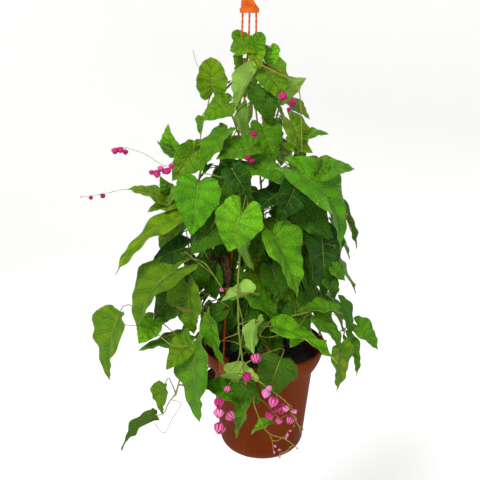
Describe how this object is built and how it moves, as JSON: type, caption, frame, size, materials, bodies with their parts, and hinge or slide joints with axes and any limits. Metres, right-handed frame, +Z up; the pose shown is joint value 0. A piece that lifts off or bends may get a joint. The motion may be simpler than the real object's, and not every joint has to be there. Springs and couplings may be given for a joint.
{
  "type": "potted coral vine",
  "caption": "Hanging plastic pot with three-strand hanger and a climbing vine of heart-shaped leaves and pink flower sprays.",
  "frame": {"origin": "point inside the top of the hanger's hook, where a rod or ceiling hook bears", "axes": "+Z up, -Y the side that the front view shows, +X to the right of that view"},
  "size_m": [0.4463, 0.321, 0.7804],
  "materials": {
    "pot_plastic": "terracotta-brown moulded plastic, satin",
    "soil": "dark, matt, crumbly potting mix",
    "hanger_plastic": "orange moulded plastic, slightly glossy",
    "foliage": "fresh green leaves, satin above and paler and matt below, on green stems",
    "flowers": "bright pink papery petals"
  },
  "bodies": {
    "root": {"pot": "pot_plastic", "soil": "soil", "hanger_hub": "hanger_plastic", "hanger_strand_left": "hanger_plastic", "hanger_strand_back": "hanger_plastic", "hanger_strand_right": "hanger_plastic", "vine_front": "foliage", "vine_centre": "foliage", "vine_right_high": "foliage", "vine_top": "foliage", "vine_left_high": "foliage", "vine_left_mid": "foliage", "vine_left_low": "foliage", "vine_right_mid": "foliage", "vine_right_low": "foliage", "vine_back_high": "foliage", "vine_back_left": "foliage", "vine_back_right": "foliage", "vine_back_low": "foliage", "spray_front_main": "flowers", "spray_front_low": "flowers", "spray_front_left": "flowers", "spray_front_top": "flowers", "spray_left_high": "flowers", "spray_left_cluster": "flowers", "spray_left_low": "flowers", "spray_right_top": "flowers", "spray_centre": "flowers", "spray_right": "flowers"}
  },
  "joints": []
}
